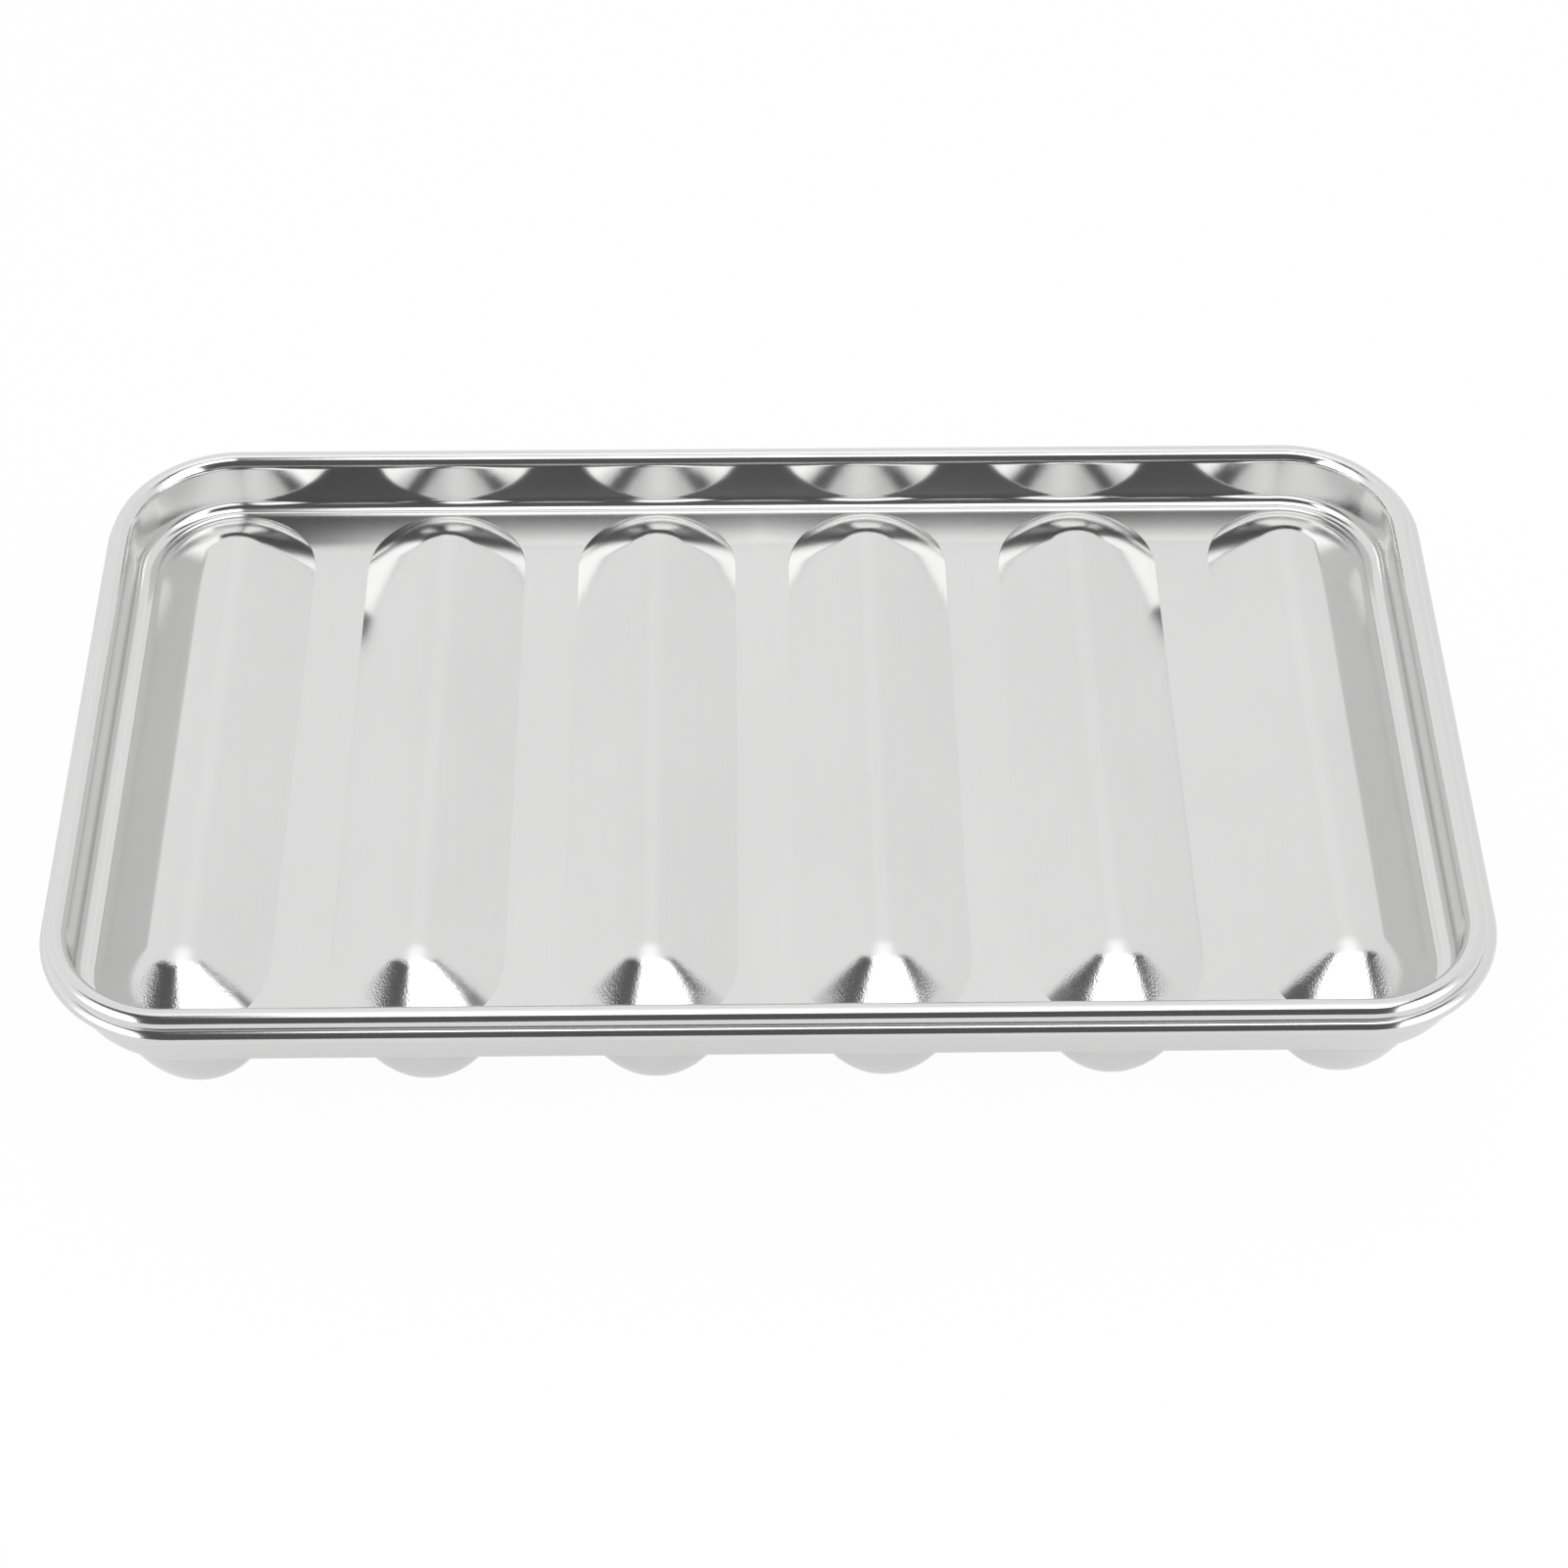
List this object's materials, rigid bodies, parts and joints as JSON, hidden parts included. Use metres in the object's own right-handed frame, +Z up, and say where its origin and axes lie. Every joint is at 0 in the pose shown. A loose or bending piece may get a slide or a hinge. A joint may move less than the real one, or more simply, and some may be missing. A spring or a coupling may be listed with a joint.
{
  "type": "sausage mould",
  "caption": "Rectangular pressed-steel sausage mould with rolled rims: a lower tray with long round-ended grooves, and a loose upper tray with ridges that closes over it.",
  "frame": {"origin": "under the middle of the lower tray, level with the lowest strip of its grooves", "axes": "+X along the longer side, +Y from the front to the back along the grooves, +Z up"},
  "size_m": [0.2284, 0.1318, 0.0385],
  "materials": {
    "stainless_steel": "polished stainless steel sheet, slightly grained where it is drawn most"
  },
  "bodies": {
    "lower_tray": {"lower_tray": "stainless_steel"},
    "upper_tray": {"upper_tray": "stainless_steel"}
  },
  "joints": [
    {"name": "upper_tray_lift", "type": "slide", "parent": "lower_tray", "child": "upper_tray", "axis": [0, 0, 1], "range_m": [0, 0.06]}
  ]
}
